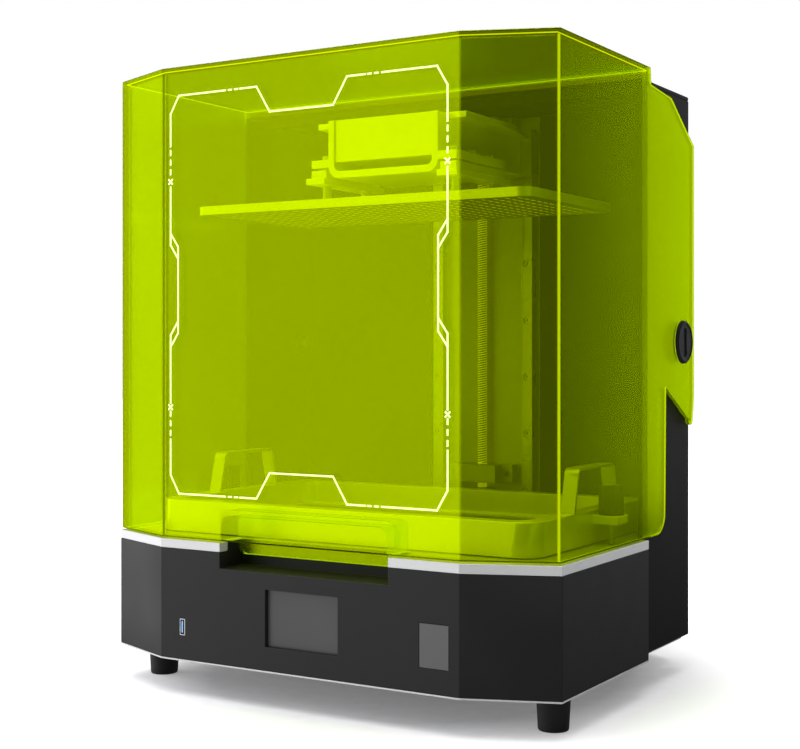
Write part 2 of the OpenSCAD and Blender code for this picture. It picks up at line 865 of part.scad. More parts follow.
film_screw_spots = concat(
    [for (x = [-160:40:160], side = [-1, 1]) [x, vat_y + side * (vat_d / 2 - 3)]],
    [for (y = [vat_y - 75:50:vat_y + 75], side = [-1, 1]) [side * (vat_w / 2 - 3), y]]
);

module film_screw_holes() {
    for (spot = film_screw_spots) translate([spot.x, spot.y, deck_top - 1]) cylinder(r = 3, h = 5);
}

module film_screws() {
    color(steel) placed() for (spot = film_screw_spots)
        translate([spot.x, spot.y, deck_top + 4]) mirror([0, 0, 1]) socket_screw(2.9, 3, 1, 0.01);
}

module vat_handles() {
    t = 2.5;
    low = vat_top;
    color(silver) placed() both_sides() translate([handle_x[0], 0, 0])
        rotate([90, 0, 90]) linear_extrude(handle_x[1] - handle_x[0]) difference() {
            handle_outline(0, low);
            handle_outline(t, low - 1);
        }
}

// The side view of a handle: a flat strap bent twice, its legs leaning in.
module handle_outline(inset, low) {
    lean = 8;
    bend = 7 - inset;
    y0 = handle_y[0] + inset;
    y1 = handle_y[1] - inset;
    top = handle_top - inset;
    polygon([[y0, low], [y1, low], [y1 - lean, top - bend], [y1 - lean - bend, top - bend],
             [y1 - lean - bend, top], [y0 + lean + bend, top], [y0 + lean + bend, top - bend],
             [y0 + lean, top - bend]]);
    for (y = [y0 + lean + bend, y1 - lean - bend]) translate([y, top - bend]) circle(bend);
}

module clamp_screw(side) {
    color(black) placed() translate([side * clamp_x, clamp_y, 0]) {
        difference() {
            translate([0, 0, clamp_z[1]]) cylinder(r = knob_r, h = knob_top - clamp_z[1]);
            for (turn = [0:30:330]) rotate(turn)
                translate([knob_r + 0.6, 0, clamp_z[1] + 4]) cylinder(r = 1.4, h = 30, $fn = 16);
        }
        translate([0, 0, deck_low + 0.3]) cylinder(r = clamp_r, h = clamp_z[1] - deck_low - 0.3);
    }
}

module left_clamp_screw() { clamp_screw(-1); }
module right_clamp_screw() { clamp_screw(1); }

// ---- Lid ----

lid_front = 0.5;
pocket_half = 88;
pocket_d = 25;
pocket_top = 137;
pocket_r = 8;
tab_low = 100;

module lid_plan(inset, rear_y) {
    translate([0, lid_front]) front_plan(lid_half, inset, rear_y - lid_front);
}

// The side view of a side wall with its ear, as [y, z].
module ear_outline() {
    corner_r = 20;
    tip_r = 5;
    rear_low = 268;
    polygon([
        [corner_d + 1, lid_z], [rear_low - corner_r, lid_z], [rear_low - corner_r, lid_z + corner_r],
        [rear_low, lid_z + corner_r], [270, 253], [338, 217], [338, 219], [343, 219], [346, 240],
        [346, 492], [285, 531], [232, 536], [lid_rear_y, top_h], [corner_d + 1, top_h]
    ]);
    translate([rear_low - corner_r, lid_z + corner_r]) circle(corner_r);
    translate([343 - tip_r, 219]) circle(tip_r);
}

// A block centred on X = 0 whose upper corners are round, seen from the front.
module pocket_block(half, y0, y1, low, high) {
    translate([0, y1, 0]) rotate([90, 0, 0]) linear_extrude(y1 - y0) {
        translate([-half, low]) square([2 * half, high - low - pocket_r]);
        translate([-half + pocket_r, low]) square([2 * (half - pocket_r), high - low]);
        for (x = [-1, 1]) translate([x * (half - pocket_r), high - pocket_r]) circle(pocket_r);
    }
}

// Turns a shape upside down about the height z.
module mirror_z(z) {
    translate([0, 0, z]) mirror([0, 0, 1]) translate([0, 0, -z]) children();
}

module lid_hood() {
    color(tint) placed() difference() {
        union() {
            difference() {
                translate([0, 0, lid_z]) linear_extrude(top_h - lid_z) lid_plan(0, lid_rear_y);
                translate([0, 0, lid_z - 1]) linear_extrude(top_h - lid_wall - lid_z + 1)
                    lid_plan(lid_wall, lid_rear_y + 1);
                translate([lid_half - lid_wall - 1, lid_rear_y - 20, lid_z - 1])
                    cube([lid_wall + 2, 21, lid_wall + 1]);
            }
            both_sides() translate([lid_half - lid_wall, 0, 0])
                rotate([90, 0, 90]) linear_extrude(lid_wall) ear_outline();
            // Walls around the finger pocket, and the tab that hangs into the recess below it
            pocket_block(pocket_half + lid_wall, lid_front, pocket_d + lid_wall, lid_z, pocket_top + lid_wall);
            mirror_z(lid_z) pocket_block(pocket_half, pocket_d, pocket_d + lid_wall, lid_z - 1, 2 * lid_z - tab_low);
        }
        pocket_block(pocket_half, -1, pocket_d, lid_z - 1, pocket_top);
        // Shallow round seat behind each hinge cap
        both_sides() translate([lid_half - seat_d, hinge_y, hinge_z])
            rotate([0, 90, 0]) cylinder(r = cap_r + 1, h = seat_d + 1);
        both_sides() translate([lid_half - lid_wall - 1, hinge_y, hinge_z])
            rotate([0, 90, 0]) cylinder(r = bush_r, h = lid_wall + 2);
    }
}

// The printed outline on the front face. Each run is a list of [x, z] points.
line_w = 1.6;
line_t = 0.3;
line_half = 148;
line_low = 155;
line_high = 524.5;
line_corner = [138, 508];
line_waist = 139;
line_notch = [[48.5, line_high], [34, 501]];
line_runs = [
    [[line_notch[1].x - 34, 501], line_notch[1], line_notch[0], [67, line_high]],
    [[87, line_high], [line_corner.x, line_high], [line_half, line_corner.y], [line_half, 478]],
    [[line_half, 440], [line_half, 397], [line_waist, 384], [line_waist, 304], [line_half, 291], [line_half, 239]],
    [[line_half, 386], [line_waist, 373]],
    [[line_half, 397], [line_half, 386]],
    [[line_half, 302], [line_waist, 315]],
    [[line_half, 302], [line_half, 291]],
    [[line_half, 205], [line_half, 172], [138, line_low], [87, line_low]],
    [[67, line_low], [48.5, line_low], [34, 178.5], [0, 178.5]]
];
dash_runs = [
    for (x = [70:7:84], z = [line_high, line_low]) [[x, z], [x + 3, z]],
    for (i = [0:2], z = [474, 231]) [[line_half, z - 9 * i], [line_half, z - 9 * i - 4]]
];

module stroke(from, to) {
    run = to - from;
    translate([from.x, 0, from.y]) rotate([0, -atan2(run.y, run.x), 0])
        block([-line_w / 2, 0, -line_w / 2], [norm(run) + line_w / 2, line_t, line_w / 2]);
}

module lid_line_pattern() {
    color([0.93, 1, 0.6]) placed() translate([0, lid_front - line_t, 0]) both_sides() {
        for (run = concat(line_runs, dash_runs), i = [1:len(run) - 1])
            stroke(run[i - 1], run[i]);
        for (z = [445, 235], turn = [45, 135]) translate([line_half, 0, z])
            rotate([0, turn, 0]) block([-3.5, 0, -line_w / 2], [3.5, line_t, line_w / 2]);
    }
}

base_shell();
bottom_plate();
feet();
foot_screws();
trim_band();
deck_plate();
panel_frame();
masking_panel();
panel_glass();
lens_plate();
light_array();
heat_sink();
screen_bezel();
touchscreen();
usb_port();
label_plate();
mainboard();
power_supply();
tower_shell();
tower_top();
rear_cover();
cover_screws();
fan_frame();
fan_rotor();
fan_grille();
power_inlet();
switch_housing();
power_rocker();
network_socket();
hinge_pins();
hinge_caps();
hinge_bushes();
column();
linear_rails();
rail_screws();
ball_screw();
lower_bearing();
upper_bearing();
shaft_coupling();
stepper_motor();
rail_carriages();
ball_nut();
carriage_plate();
support_arm();
bracket_frame();
levelling_plates();
platform_posts();
platform_bolts();
build_plate();
vat_body();
release_film();
film_frame();
film_screws();
vat_handles();
left_clamp_screw();
right_clamp_screw();
lid_hood();
lid_line_pattern();
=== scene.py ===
"""The resin printer's looks: materials, detailed pieces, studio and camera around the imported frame."""
import json
import math

import bmesh
import bpy
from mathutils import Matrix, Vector


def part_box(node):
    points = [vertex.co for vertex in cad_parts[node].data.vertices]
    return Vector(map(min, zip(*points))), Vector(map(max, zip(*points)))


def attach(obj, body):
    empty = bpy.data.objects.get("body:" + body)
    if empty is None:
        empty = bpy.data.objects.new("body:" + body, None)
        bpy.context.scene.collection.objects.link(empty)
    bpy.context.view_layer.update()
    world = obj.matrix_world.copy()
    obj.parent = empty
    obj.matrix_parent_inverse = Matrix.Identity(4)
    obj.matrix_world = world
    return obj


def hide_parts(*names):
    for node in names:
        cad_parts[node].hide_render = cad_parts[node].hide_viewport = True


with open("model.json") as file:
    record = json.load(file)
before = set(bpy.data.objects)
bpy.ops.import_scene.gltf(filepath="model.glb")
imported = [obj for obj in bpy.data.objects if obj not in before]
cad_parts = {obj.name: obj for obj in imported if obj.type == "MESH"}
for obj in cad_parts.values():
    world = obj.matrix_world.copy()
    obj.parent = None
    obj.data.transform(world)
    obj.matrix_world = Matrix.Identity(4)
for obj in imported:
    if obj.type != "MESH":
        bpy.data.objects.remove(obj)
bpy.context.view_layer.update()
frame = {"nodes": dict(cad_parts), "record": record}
nodes = frame["nodes"]

MM = 0.001


# ---------------------------------------------------------------- camera and studio

CAMERA_AT = (0.7405, -1.254, 0.3203)    # metres, from the perspective fit of the photo
CAMERA_YAW = math.radians(31.2)
SENSOR = 36                             # millimetres, like the lens
LENS = 65.75
SHIFT_Y = -0.0306
ROOM_LIGHT = 0.42                       # the white room's strength as light; the camera sees it at 1
ROOM_GLOSS = 0.10                       # its strength in reflections, and behind the tinted lid
FLOOR_HALF = 6.0                        # metres
FLOOR_SHADE = 0.2                       # metres from the middle to where the floor's painted glow starts to rise
FLOOR_WHITE = 0.48                      # metres from the middle to where its painted glow makes it as white as the room
AIM = Vector((0, 0, 0.28))              # the printer's middle, where the lamps point

# Azimuth (0 in front, 90 on the right) and elevation in degrees, distance and size in metres, power in watts
LAMPS = {
    "front_box": (-50, 6, 2.0, (2.9, 2.8), 42),
    "left_box": (-88, 8, 2.2, (0.9, 2.6), 11.5),
    "back_box": (163, 14, 2.4, (0.9, 2.0), 8.5),
    "top_light": (-30, 82, 2.2, (2.4, 2.4), 76),
}


def make_camera():
    data = bpy.data.cameras.new("camera")
    data.sensor_width = SENSOR
    data.lens = LENS
    data.shift_y = SHIFT_Y
    camera = bpy.data.objects.new("camera", data)
    camera.location = CAMERA_AT
    camera.rotation_euler = (math.radians(90), 0, CAMERA_YAW)
    bpy.context.scene.collection.objects.link(camera)
    bpy.context.scene.camera = camera


def area_light(name, azimuth, elevation, distance, size, power):
    """A soft box aimed at the printer's middle."""
    turn, rise = math.radians(azimuth), math.radians(elevation)
    away = Vector((math.sin(turn) * math.cos(rise), -math.cos(turn) * math.cos(rise), math.sin(rise)))
    data = bpy.data.lights.new(name, "AREA")
    data.shape = "RECTANGLE"
    data.size, data.size_y = size
    data.energy = power
    light = bpy.data.objects.new(name, data)
    light.location = AIM + away * distance
    light.rotation_mode = "QUATERNION"
    light.rotation_quaternion = (-away).to_track_quat("-Z", "Y")
    bpy.context.scene.collection.objects.link(light)


def make_world():
    """Plain white behind the object, weaker as light, and weaker still in reflections and through the lid."""
    world = bpy.data.worlds.new("studio")
    bpy.context.scene.world = world
    world.use_nodes = True
    tree = world.node_tree
    background = tree.nodes["Background"]
    background.inputs["Color"].default_value = (1, 1, 1, 1)
    path = tree.nodes.new("ShaderNodeLightPath")
    choices = (("Is Camera Ray", 1.0), ("Is Glossy Ray", ROOM_GLOSS), ("Transparent Depth", ROOM_GLOSS))
    before = None
    for kind, value in choices:
        choice = tree.nodes.new("ShaderNodeMix")
        choice.inputs["A"].default_value = ROOM_LIGHT
        choice.inputs["B"].default_value = value
        tree.links.new(path.outputs[kind], choice.inputs["Factor"])
        if before:
            tree.links.new(before, choice.inputs["A"])
        before = choice.outputs["Result"]
    tree.links.new(before, background.inputs["Strength"])


def make_floor():
    mesh = bpy.data.meshes.new("floor")
    far = FLOOR_HALF
    mesh.from_pydata([(-far, -far, 0), (far, -far, 0), (far, far, 0), (-far, far, 0)], [], [(0, 1, 2, 3)])
    floor = bpy.data.objects.new("floor", mesh)
    bpy.context.scene.collection.objects.link(floor)
    mesh.materials.append(floor_material())
    floor.visible_glossy = False
    floor.visible_shadow = False


def make_studio():
    bpy.context.scene.view_settings.view_transform = "Standard"
    make_world()
    for name, (azimuth, elevation, distance, size, power) in LAMPS.items():
        area_light(name, azimuth, elevation, distance, size, power)
    make_floor()


# ---------------------------------------------------------------- materials

NOISE_LOW, NOISE_HIGH = 0.3, 0.7        # noise textures stay mostly between these two
BUMP_STRENGTH = 0.3


class Shader:
    """A material's node tree with short names for the nodes used here."""

    def __init__(self, name):
        self.material = bpy.data.materials.new(name)
        self.material.use_nodes = True
        self.tree = self.material.node_tree
        self.surface = self.tree.nodes["Principled BSDF"]
        self.output = self.tree.nodes["Material Output"]
        self.place = self.node("ShaderNodeTexCoord").outputs["Object"]

    def node(self, kind, **values):
        made = self.tree.nodes.new(kind)
        for key, value in values.items():
            setattr(made, key, value)
        return made

    def link(self, source, target):
        self.tree.links.new(source, target)

    def set(self, **values):
        """Plain values on the Principled shader, with _ for a space in the name."""
        for key, value in values.items():
            self.surface.inputs[key.replace("_", " ")].default_value = value

    def noise(self, scale, detail):
        """Noise in the object's own coordinates."""
        made = self.node("ShaderNodeTexNoise")
        made.inputs["Scale"].default_value = scale
        made.inputs["Detail"].default_value = detail
        self.link(self.place, made.inputs["Vector"])
        return made.outputs["Fac"]

    def spread(self, source, low, high, start=NOISE_LOW, end=NOISE_HIGH):
        """Maps start to end in the source onto low to high."""
        made = self.node("ShaderNodeMapRange")
        made.inputs["From Min"].default_value = start
        made.inputs["From Max"].default_value = end
        made.inputs["To Min"].default_value = low
        made.inputs["To Max"].default_value = high
        self.link(source, made.inputs["Value"])
        return made.outputs["Result"]

    def times(self, source, other):
        """The product of two values."""
        made = self.node("ShaderNodeMath", operation="MULTIPLY")
        self.link(source, made.inputs[0])
        self.link(other, made.inputs[1])
        return made.outputs["Value"]

    def blend(self, source, dark, light):
        """A colour between dark and light."""
        made = self.node("ShaderNodeMix", data_type="RGBA")
        made.inputs["A"].default_value = (*dark, 1)
        made.inputs["B"].default_value = (*light, 1)
        self.link(self.spread(source, 0, 1), made.inputs["Factor"])
        return made.outputs["Result"]

    def bump(self, source, height):
        made = self.node("ShaderNodeBump")
        made.inputs["Strength"].default_value = BUMP_STRENGTH
        made.inputs["Distance"].default_value = height
        self.link(source, made.inputs["Height"])
        return made.outputs["Normal"]


def grey(value):
    """A neutral colour with a trace of blue."""
    return (value, value, value * 1.02)


def grained(name, dark, light, rough, grain=None, height=None, **values):
    """A solid finish: slow changes in colour and roughness, and with a grain, a fine bump of that height."""
    shader = Shader(name)
    surface = shader.surface
    shader.set(**values)
    slow = shader.noise(14, 3)
    shader.link(shader.blend(slow, dark, light), surface.inputs["Base Color"])
    shader.link(shader.spread(slow, *rough), surface.inputs["Roughness"])
    if grain:
        shader.link(shader.bump(shader.noise(grain, 2), height), surface.inputs["Normal"])
    return shader.material


def floor_material():
    """Pale paper with a painted glow. The glow is dim near the object, so the floor takes its shadow and
    stays darker there, and it rises to white away from it, which hides the lamps' shadows.
    """
    shader = Shader("floor_pale")
    surface = shader.surface
    fine = shader.noise(60, 2)
    shader.link(shader.blend(fine, grey(0.69), grey(0.73)), surface.inputs["Base Color"])
    shader.set(Roughness=0.9, Specular_IOR_Level=0.0, Emission_Color=(1, 1, 1, 1))
    distance = shader.node("ShaderNodeVectorMath", operation="LENGTH")
    shader.link(shader.place, distance.inputs[0])
    glow = shader.spread(distance.outputs["Value"], 0.10, 1.0, FLOOR_SHADE, FLOOR_WHITE)
    shader.link(glow, surface.inputs["Emission Strength"])
    # Seen through the tinted lid, the floor's painted glow is as dim as the room
    dim = shader.node("ShaderNodeEmission")
    dim.inputs["Strength"].default_value = ROOM_GLOSS
    mixed = shader.node("ShaderNodeMixShader")
    path = shader.node("ShaderNodeLightPath")
    shader.link(path.outputs["Transparent Depth"], mixed.inputs["Fac"])
    shader.link(surface.outputs["BSDF"], mixed.inputs[1])
    shader.link(dim.outputs["Emission"], mixed.inputs[2])
    shader.link(mixed.outputs["Shader"], shader.output.inputs["Surface"])
    return shader.material


def clear_material(name, tint, body, share, rough=0.08, sheen_from=None, **values):
    """A clear tinted sheet: it lets tinted light through, and a share of it scatters and mirrors light.

    It holds back less of the lamps' light. Behind a given depth it scatters more: a painted sheen in the ears
    beside the tower, for the tower's glossy side mirrored in them."""
    shader = Shader(name)
    clear = shader.node("ShaderNodeBsdfTransparent")
    clear.inputs["Color"].default_value = (*tint, 1)
    surface = shader.surface
    shader.set(Base_Color=(*body, 1), Roughness=rough, **values)
    mixed = shader.node("ShaderNodeMixShader")
    scatter = shader.spread(shader.noise(9, 2), share * 0.97, share * 1.03)
    # Behind the tower's front the sheet scatters more, a painted sheen for the tower's glossy side mirrored
    # in the ears
    if sheen_from:
        depth = shader.node("ShaderNodeSeparateXYZ")
        shader.link(shader.place, depth.inputs["Vector"])
        sheen_boost = shader.spread(depth.outputs["Y"], 1, EAR_SHEEN_RATIO, sheen_from, sheen_from + 0.1 * MM)
        scatter = shader.times(scatter, sheen_boost)
    path = shader.node("ShaderNodeLightPath")
    lamps = shader.spread(path.outputs["Is Shadow Ray"], 1, LAMP_RATIO, 0, 1)
    shader.link(shader.times(scatter, lamps), mixed.inputs["Fac"])
    shader.link(clear.outputs["BSDF"], mixed.inputs[1])
    shader.link(surface.outputs["BSDF"], mixed.inputs[2])
    shader.link(mixed.outputs["Shader"], shader.output.inputs["Surface"])
    return shader.material


def joint_material(name, glow):
    """A glued joint in the tinted sheet, glowing in the given colour: bright ones are painted highlights,
    dark ones dark lines in joints.
    """
    shader = Shader(name)
    fine = shader.noise(300, 2)
    dim = tuple(0.9 * value for value in glow)
    shader.link(shader.blend(fine, dim, glow), shader.surface.inputs["Emission Color"])
    shader.set(Base_Color=(0.01, 0.015, 0.0, 1), Roughness=0.5, Specular_IOR_Level=0.0, Emission_Strength=1.0)
    return shader.material


def line_material():
    """The pale ink of the printed line, with a painted glow that keeps it bright against the lid."""
    shader = Shader("line_print")
    surface = shader.surface
    fine = shader.noise(900, 2)
    shader.link(shader.blend(fine, (0.80, 1.0, 0.28), (0.88, 1.0, 0.36)), surface.inputs["Base Color"])
    shader.set(Roughness=0.4, Emission_Color=(0.8, 1.0, 0.3, 1), Emission_Strength=0.35)
    return shader.material


ACRYLIC_TINT = (0.89, 0.96, 0.005)
ACRYLIC_BODY = (0.66, 0.86, 0.0)
ACRYLIC_SHARE = 0.17
LAMP_RATIO = 0.25                       # the share that holds back the lamps' light, against the seen one
EAR_SHEEN_RATIO = 2.3                       # the share behind the tower's front, against the one before it: a painted sheen in the ears
# The socket's inside: navy, painted shade in its hollow
USB_SHADED_NAVY = ((0.01, 0.02, 0.09), (0.012, 0.026, 0.11))
USB_BLUE = ((0.25, 0.5, 0.85), (0.3, 0.55, 0.9))

MATERIALS = {
    # Painted and moulded black parts
    "black_plastic": grained("black_plastic", grey(0.0088), grey(0.0105), (0.5, 0.58), 1800, 0.03 * MM,
                             Specular_IOR_Level=0.24),
    "black_metal": grained("black_metal", grey(0.006), grey(0.0075), (0.55, 0.6), 1400, 0.004 * MM,
                           Specular_IOR_Level=0.06),
    "hinge_black": grained("hinge_black", grey(0.008), grey(0.010), (0.5, 0.56), 900, 0.01 * MM,
                           Specular_IOR_Level=0.08),
    "dark_plastic": grained("dark_plastic", grey(0.009), grey(0.011), (0.28, 0.34), 700, 0.02 * MM,
                            Specular_IOR_Level=0.3),
    "panel_dark": grained("panel_dark", (0.044, 0.044, 0.044), (0.050, 0.050, 0.050), (0.3, 0.36), 300,
                          0.005 * MM, Specular_IOR_Level=0.25),
    "badge_grey": grained("badge_grey", grey(0.05), grey(0.056), (0.3, 0.38), 700, 0.01 * MM),
    "rubber": grained("rubber", grey(0.006), grey(0.009), (0.6, 0.7), 900, 0.08 * MM, Specular_IOR_Level=0.3),
    # Metals
    "trim_silver": grained("trim_silver", grey(0.45), grey(0.48), (0.32, 0.4), 900, 0.01 * MM, Metallic=0.3),
    "aluminium": grained("aluminium", grey(0.86), grey(0.92), (0.28, 0.34), Metallic=0.5),
    "anodised": grained("anodised", grey(0.44), grey(0.48), (0.4, 0.46), 900, 0.003 * MM, Metallic=0.4),
    "steel": grained("steel", grey(0.5), grey(0.55), (0.34, 0.38), Metallic=0.6),
    "chrome": grained("chrome", grey(0.38), grey(0.42), (0.26, 0.3), Metallic=0.6),
    # Boards, the switch and the USB socket
    "circuit": grained("circuit", (0.008, 0.07, 0.03), (0.012, 0.1, 0.045), (0.35, 0.5), 500, 0.04 * MM),
    "led_board": grained("led_board", grey(0.7), grey(0.78), (0.4, 0.5), 400, 0.02 * MM),
    "switch_red": grained("switch_red", (0.3, 0.015, 0.01), (0.36, 0.02, 0.014), (0.25, 0.35), 500,
                          0.02 * MM),
    "usb_navy_shade": grained("usb_navy_shade", *USB_SHADED_NAVY, (0.4, 0.5), 500, 0.002 * MM),
    "usb_tongue": grained("usb_tongue", *USB_BLUE, (0.35, 0.45), 500, 0.002 * MM),
    # The build plate's face and its slots, whose glow is a painted sheen, and the ball screw's thread, with a
    # painted highlight on its crests and painted shade in its grooves
    "blasted_face": grained("blasted_face", grey(0.3), grey(0.34), (0.45, 0.5), 1500, 0.01 * MM,
                            Metallic=0.3),
    "milled_slot_glow": grained("milled_slot_glow", grey(0.8), grey(0.88), (0.3, 0.35), Metallic=0.3,
                           Emission_Color=(1, 1, 1, 1), Emission_Strength=0.3),
    # Glowing crests and darker grooves: painted highlight and painted shade on one steel
    "thread_crest_glow": grained("thread_crest_glow", grey(0.84), grey(0.9), (0.3, 0.36), Metallic=0.4,
                            Emission_Color=(1, 1, 1, 1), Emission_Strength=0.3),
    "thread_groove_shade": grained("thread_groove_shade", grey(0.16), grey(0.2), (0.4, 0.46), Metallic=0.4),
    # The lid, its cut edges and glued joints, whose glows are painted highlights, and its printed line with a
    # painted glow
    "tinted_acrylic": clear_material("tinted_acrylic", ACRYLIC_TINT, ACRYLIC_BODY, ACRYLIC_SHARE, 0.22,
                                     sheen_from=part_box("tower_shell")[0].y, Metallic=0.85,
                                     Specular_IOR_Level=0.0, Specular_Tint=(*ACRYLIC_BODY, 1)),
    # The cut edges glow: painted light gathered to the tinted sheet's edges
    "acrylic_edge_glow": clear_material("acrylic_edge_glow", ACRYLIC_TINT, (0.66, 0.88, 0.01), 0.6, 0.3,
                                   Emission_Color=(0.6, 0.85, 0.01, 1), Emission_Strength=0.4),
    # Glowing joints: painted highlights where the lid's joints catch the light
    "joint_glint": joint_material("joint_glint", (0.9, 1.0, 0.004)),
    "joint_soft_glint": joint_material("joint_soft_glint", (0.66, 0.78, 0.005)),
    "joint_dark": joint_material("joint_dark", (0.02, 0.03, 0.001)),
    "line_print": line_material(),
    # The screen and the vat's film
    "glass": clear_material("glass", (0.93, 0.96, 0.97), (0.3, 0.32, 0.33), 0.1),
    "film": clear_material("film", (0.9, 0.93, 0.95), (0.5, 0.52, 0.55), 0.12),
}


# ---------------------------------------------------------------- CAD nodes

SLOTS = {row["node"]: row["material_slot"] for row in frame["record"]["subparts"]}
WALL = 5 * MM                           # thickness of the lid
EDGE_ANGLE = math.radians(30)           # faces that meet at a larger angle get a rounded edge
LID_EDGE_ANGLE = math.radians(50)       # the shallow folds at the lid's front stay sharp

# The width of each node's rounded edges, in millimetres
SOFT_EDGES = {
    # Base and tower
    "base_shell": 0.8, "trim_band": 0.6, "bottom_plate": 0.3, "feet": 1.0, "deck_plate": 0.5,
    "tower_shell": 0.8, "tower_top": 0.8, "rear_cover": 1.0, "screen_bezel": 0.4, "power_supply": 0.5,
    "fan_frame": 0.6, "power_inlet": 0.4, "switch_housing": 0.4, "power_rocker": 0.6,
    # Lift and platform
    "column": 0.8, "linear_rails": 0.5, "lower_bearing": 0.8, "upper_bearing": 0.8, "stepper_motor": 0.8,
    "shaft_coupling": 0.4, "ball_nut": 0.6, "rail_carriages": 0.8, "carriage_plate": 0.5, "support_arm": 0.6,
    "bracket_frame": 0.7, "levelling_plates": 0.8, "platform_bolts": 0.4,
    # Vat and lid
    "vat_body": 0.8, "vat_handles": 0.6, "left_clamp_screw": 0.6, "right_clamp_screw": 0.6,
    "hinge_caps": 0.6, "lid_hood": 1.0,
}


def soften(node, width):
    """Joins the triangles of each flat face, and rounds the edges between faces."""
    weld = node.modifiers.new("weld", "WELD")
    weld.merge_threshold = 0.002 * MM
    flat = node.modifiers.new("flat", "DECIMATE")
    flat.decimate_type = "DISSOLVE"
    flat.angle_limit = math.radians(0.5)
    flat.delimit = {"MATERIAL"}
    bevel = node.modifiers.new("bevel", "BEVEL")
    bevel.width = width * MM
    bevel.segments = 2
    bevel.limit_method = "ANGLE"
    bevel.angle_limit = EDGE_ANGLE
    bevel.use_clamp_overlap = False
    bevel.harden_normals = True


def is_at_hinge(point):
    """True for the points of the round seats behind the hinge caps."""
    low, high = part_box("hinge_caps")
    from_hinge = Vector(point[1:]) - (Vector(low[1:]) + Vector(high[1:])) / 2
    return from_hinge.length < (high.z - low.z) / 2 + 2 * MM


def is_cut_edge(face):
    """True for the hood's lower rim and its pull tab's, and for the walls of the hinge caps' round seats."""
    rim_reach = 30 * MM
    in_rim = face.normal.z < -0.9 and face.center.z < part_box("lid_hood")[0].z + rim_reach
    in_seat = abs(face.normal.x) < 0.1 and is_at_hinge(face.center)
    return in_rim or in_seat


def dress_faces(name, material, wanted):
    """Gives the faces of a CAD node that wanted() picks another material."""
    node = nodes[name]
    node.data.materials.append(material)
    index = len(node.data.materials) - 1
    for face in node.data.polygons:
        if wanted(face):
            face.material_index = index


def dress_cad():
    """Gives every CAD node the material of its slot, and soft edges where they show."""
    for name, node in nodes.items():
        node.data.materials.clear()
        node.data.materials.append(MATERIALS[SLOTS[name]])
        if name in SOFT_EDGES:
            soften(node, SOFT_EDGES[name])
    nodes["hinge_caps"].data.materials[0] = MATERIALS["hinge_black"]
    nodes["lid_hood"].modifiers["bevel"].angle_limit = LID_EDGE_ANGLE
    # The hood's cut edges get the glowing edge material, a painted glow
    dress_faces("lid_hood", MATERIALS["acrylic_edge_glow"], is_cut_edge)


def dress_clamps():
    """Steel posts under the black knobs."""
    post_reach = 3 * MM
    for name in ("left_clamp_screw", "right_clamp_screw"):
        low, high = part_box(name)
        axis = Vector(((low.x + high.x) / 2, (low.y + high.y) / 2))
        dress_faces(name, MATERIALS["steel"],
                    lambda face: (Vector(face.center[:2]) - axis).length < post_reach)


def dress_usb():
    """Navy inside the USB socket, painted shade in its hollow over its walls and tongue, and a pale blue
    front on the tongue.
    """
    low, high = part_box("usb_port")
    middle = (low.x + high.x) / 2
    wall = 0.5 * MM
    tongue_reach = 3 * MM

    def inside(face):
        at = face.center
        across = abs(at.x - middle) < high.x - middle - wall
        return across and at.y > low.y + wall and low.z + wall < at.z < high.z - wall

    def at_mouth(face):
        return inside(face) and face.normal.y < -0.9 and face.center.y < low.y + tongue_reach

    # Navy is painted shade in the socket's hollow
    dress_faces("usb_port", MATERIALS["usb_navy_shade"], inside)
    dress_faces("usb_port", MATERIALS["usb_tongue"], at_mouth)


def dress_build_plate():
    """Blasted grey underside, with the slots milled in it brightened by a painted glow."""
    low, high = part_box("build_plate")
    edge = 4 * MM
    skin = 0.1 * MM
    deepest = 1 * MM

    def in_slot(face):
        at = face.center
        inside = low.x + edge < at.x < high.x - edge and low.y + edge < at.y < high.y - edge
        return inside and low.z + skin < at.z < low.z + deepest

    def at_bottom(face):
        return face.normal.z < -0.9 and face.center.z < low.z + skin

    dress_faces("build_plate", MATERIALS["blasted_face"], at_bottom)
    # The slots glow, a painted sheen
    dress_faces("build_plate", MATERIALS["milled_slot_glow"], in_slot)


# ---------------------------------------------------------------- detailed pieces

def add_piece(name, verts, faces, body, material):
    """A mesh piece that rides on a body, with its normals facing out."""
    mesh = bpy.data.meshes.new(name)
    mesh.from_pydata(verts, [], faces)
    work = bmesh.new()
    work.from_mesh(mesh)
    bmesh.ops.recalc_face_normals(work, faces=work.faces)
    work.to_mesh(mesh)
    work.free()
    mesh.materials.append(material)
    piece = bpy.data.objects.new(name, mesh)
    bpy.context.scene.collection.objects.link(piece)
    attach(piece, body)
    return piece


